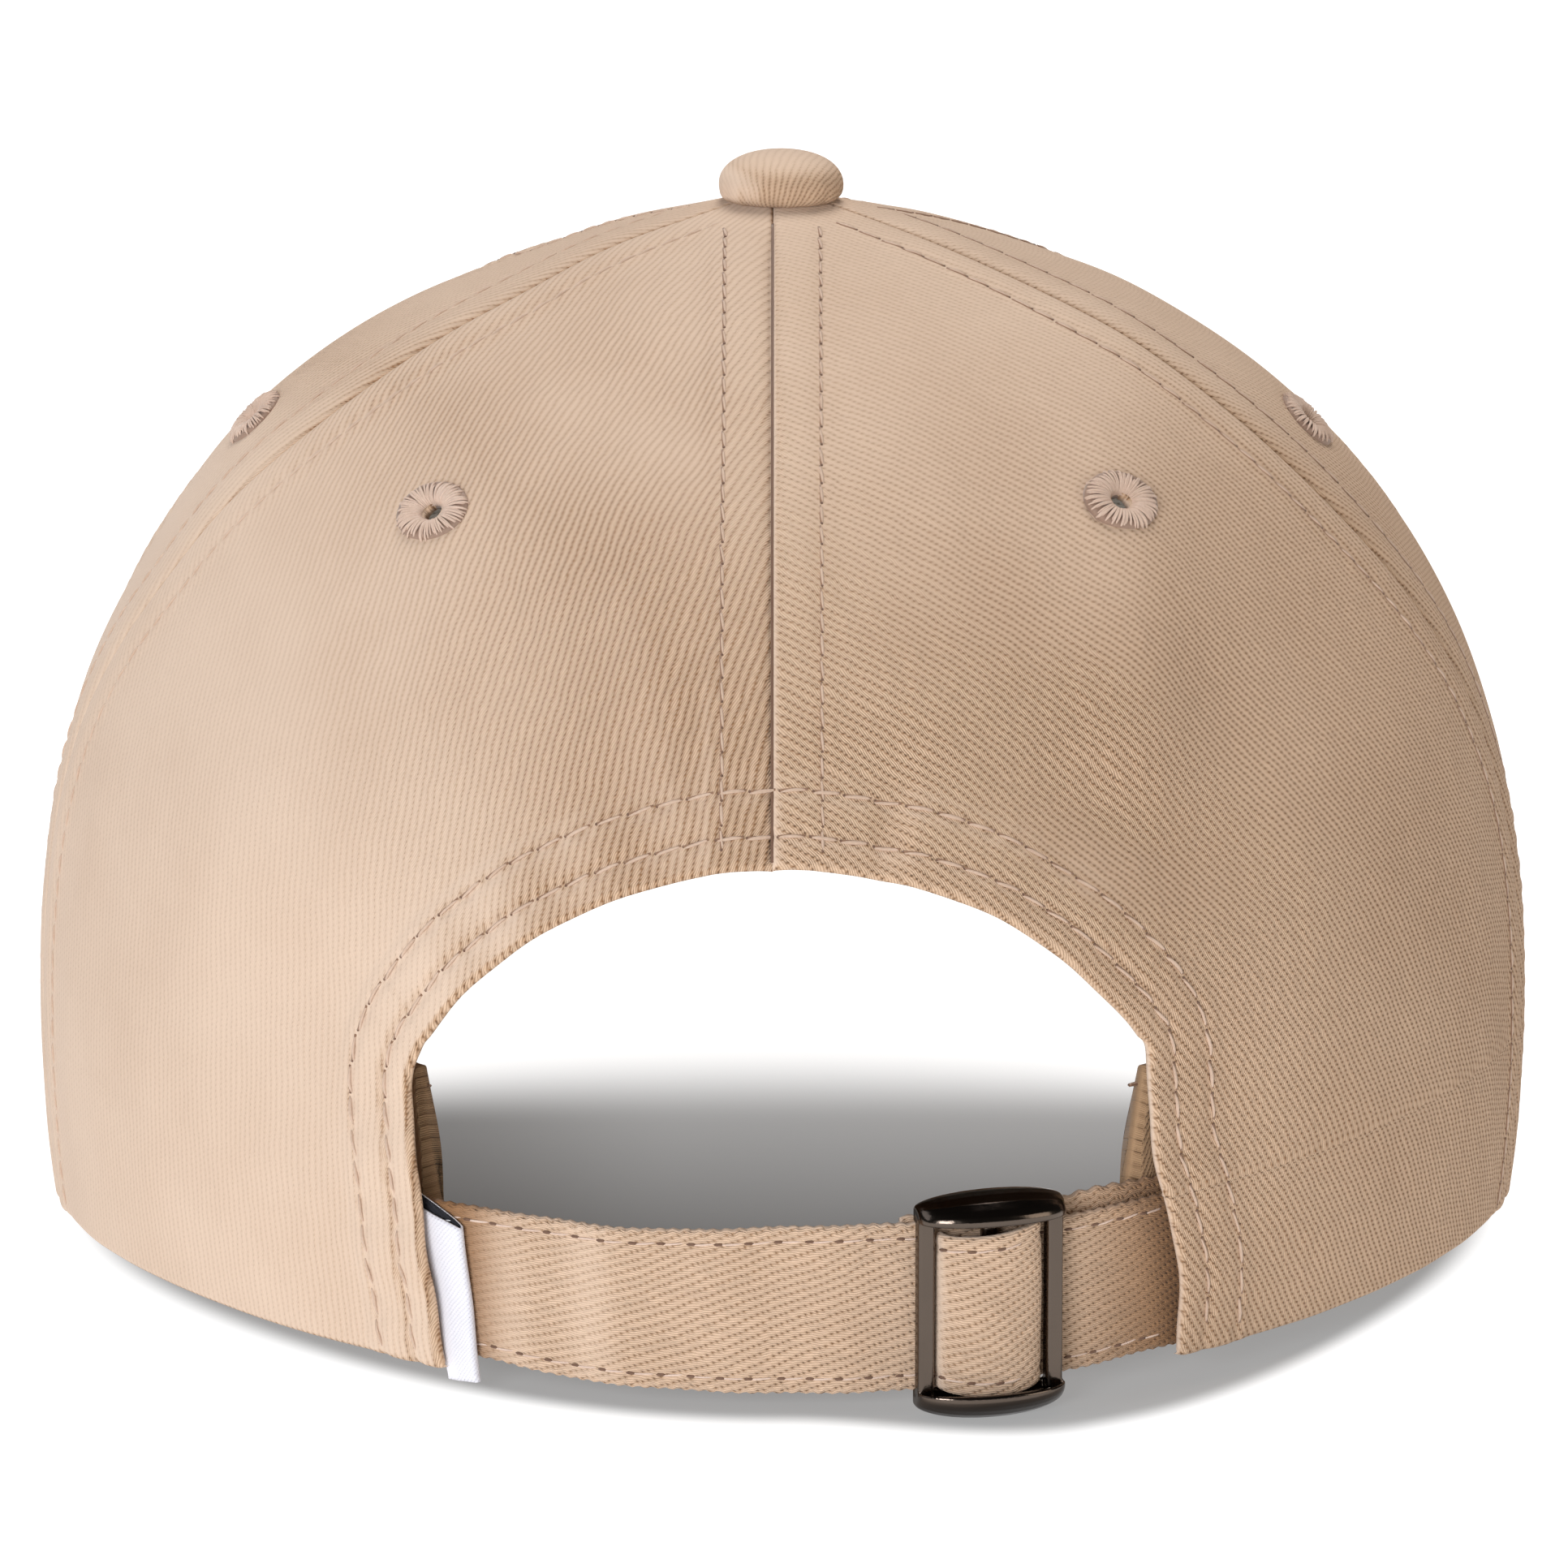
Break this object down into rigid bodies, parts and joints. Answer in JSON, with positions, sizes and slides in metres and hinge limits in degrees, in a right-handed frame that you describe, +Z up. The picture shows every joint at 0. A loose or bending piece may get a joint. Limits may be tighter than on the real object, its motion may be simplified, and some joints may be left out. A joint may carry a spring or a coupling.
{
  "type": "baseball cap",
  "caption": "Cotton-twill cap with a rounded panelled crown, curved brim, open arch at the back and an adjustable strap with a metal slide buckle.",
  "frame": {"origin": "bottom centre of the bounding box, on the surface the cap stands on", "axes": "+Z up, +Y towards the front edge of the brim, +X to the wearer's right when seen from behind"},
  "size_m": [0.1904, 0.2665, 0.1397],
  "materials": {
    "twill": "matte diagonal cotton twill",
    "strap_twill": "matte cotton twill, doubled and edge stitched",
    "buckram": "stiffened open-weave backing",
    "tape": "plain-weave bias tape",
    "sweatband": "soft cotton twill, folded",
    "embroidery": "satin-stitched thread",
    "board": "plain flexible board",
    "gunmetal": "dark gunmetal plating, semi-gloss",
    "woven_label": "white damask weave, left blank"
  },
  "bodies": {
    "crown": {"front_panel_left": "twill", "front_panel_right": "twill", "side_panel_left": "twill", "side_panel_right": "twill", "back_panel_left": "twill", "back_panel_right": "twill", "brim_top_cover": "twill", "brim_under_cover": "twill", "button_cover": "twill", "strap_long": "strap_twill", "strap_anchor": "strap_twill", "buckram_left": "buckram", "buckram_right": "buckram", "tape_front": "tape", "tape_front_left": "tape", "tape_front_right": "tape", "tape_side_left": "tape", "tape_side_right": "tape", "tape_back": "tape", "arch_facing": "tape", "sweatband": "sweatband", "eyelet_back_left": "embroidery", "eyelet_back_right": "embroidery", "eyelet_side_left": "embroidery", "eyelet_side_right": "embroidery", "eyelet_front_left": "embroidery", "eyelet_front_right": "embroidery", "brim_board": "board", "button_rivet": "gunmetal"},
    "buckle": {"buckle": "gunmetal", "strap_wrap": "strap_twill"},
    "label": {"woven_label": "woven_label"}
  },
  "joints": [
    {"name": "strap_adjust", "type": "hinge", "parent": "crown", "child": "buckle", "pos_m": [0, -0.0543, 0.0135], "axis": [0, 0, 1], "range_deg": [-32, 4], "deforming": ["strap_anchor"]},
    {"name": "label_flap", "type": "hinge", "parent": "crown", "child": "label", "pos_m": [-0.03914, -0.11944, 0.0135], "axis": [0, 0, 1], "range_deg": [-40, 0]}
  ]
}
